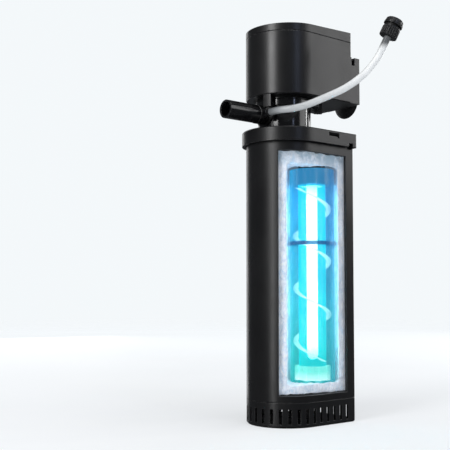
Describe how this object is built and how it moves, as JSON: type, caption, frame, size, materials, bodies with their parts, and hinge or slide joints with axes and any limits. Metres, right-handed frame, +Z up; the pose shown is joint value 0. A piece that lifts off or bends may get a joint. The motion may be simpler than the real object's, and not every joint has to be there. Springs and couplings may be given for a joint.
{
  "type": "internal power filter",
  "caption": "Submersible aquarium filter: slotted base, windowed D-shaped canister with lit ultraviolet tube, pump head, outlet nozzle and air line.",
  "frame": {"origin": "underside of the intake base, on the pump's vertical axis", "axes": "+Z up along the pump axis, -Y to the round front and the outlet, +Y to the flat back"},
  "size_m": [0.1366, 0.1365, 0.3405],
  "materials": {
    "black_plastic": "satin moulded black plastic",
    "black_gloss": "smooth moulded black plastic",
    "rubber": "soft black rubber",
    "clear_plastic": "clear polycarbonate",
    "quartz": "clear quartz glass",
    "wool": "soft white filter wool",
    "lamp_glow": "lit ultraviolet lamp tubes, emissive",
    "white_plastic": "off-white lamp base and socket",
    "brass_pin": "plain brass",
    "silicone": "translucent milky silicone",
    "ferrite": "dark grey bonded ferrite",
    "ceramic": "white ceramic",
    "steel_lamination": "stacked electrical steel",
    "copper": "enamelled copper wire",
    "resin": "black potting resin"
  },
  "bodies": {
    "canister": {"canister": "black_plastic", "support_grid": "black_plastic", "window_pane": "clear_plastic", "foam_sleeve": "wool", "uv_chamber": "clear_plastic", "swirl_vane": "clear_plastic", "flow_collar": "clear_plastic", "sleeve_foot": "clear_plastic", "lower_suction_cup": "rubber"},
    "base": {"intake_base": "black_plastic"},
    "lid": {"canister_lid": "black_plastic", "lid_seal": "rubber", "lamp_gland": "black_plastic", "quartz_sleeve": "quartz", "uv_lamp": "lamp_glow", "lamp_base": "white_plastic", "lamp_pins": "brass_pin", "lamp_socket": "white_plastic", "sleeve_nut": "black_plastic", "sleeve_oring": "rubber"},
    "chamber": {"pump_chamber": "black_gloss", "neck_oring": "rubber", "lower_bush": "rubber", "outlet_nozzle": "black_gloss", "venturi_barb": "black_gloss", "air_tube": "silicone", "valve_barb": "black_gloss", "valve_body": "black_gloss"},
    "motor": {"motor_housing": "black_plastic", "cap_seal": "rubber", "motor_cap": "black_plastic", "mains_gland": "black_plastic", "stator_core": "steel_lamination", "coil_bobbins": "white_plastic", "windings": "copper", "potting_resin": "resin", "rotor_well": "black_gloss", "chamber_oring": "rubber", "upper_bush": "rubber", "rotor_shaft": "ceramic"},
    "rotor": {"impeller": "black_plastic", "rotor_magnet": "ferrite"},
    "valve_cap": {"valve_cap": "black_gloss", "valve_needle": "brass_pin"},
    "bracket": {"suction_bracket": "black_plastic", "suction_cup": "rubber"}
  },
  "joints": [
    {"name": "base_pull", "type": "slide", "parent": "canister", "child": "base", "axis": [0, 0, -1], "range_m": [0, 0.03]},
    {"name": "lid_lift", "type": "slide", "parent": "canister", "child": "lid", "axis": [0, 0, 1], "range_m": [0, 0.22]},
    {"name": "head_swivel", "type": "hinge", "parent": "lid", "child": "chamber", "pos_m": [0, 0, 0.25], "axis": [0, 0, 1], "range_deg": [-90, 90]},
    {"name": "motor_twist", "type": "hinge", "parent": "chamber", "child": "motor", "pos_m": [0, 0, 0.275], "axis": [0, 0, 1], "range_deg": [0, 25]},
    {"name": "rotor_spin", "type": "hinge", "parent": "motor", "child": "rotor", "pos_m": [0, 0, 0.28], "axis": [0, 0, 1], "continuous": true},
    {"name": "valve_turn", "type": "hinge", "parent": "chamber", "child": "valve_cap", "pos_m": [0.09117, 0.03644, 0.32918], "axis": [0.2717, 0.3237, 0.9063], "range_deg": [0, 300]},
    {"name": "bracket_lift", "type": "slide", "parent": "motor", "child": "bracket", "axis": [0, 0, 1], "range_m": [0, 0.02]}
  ]
}
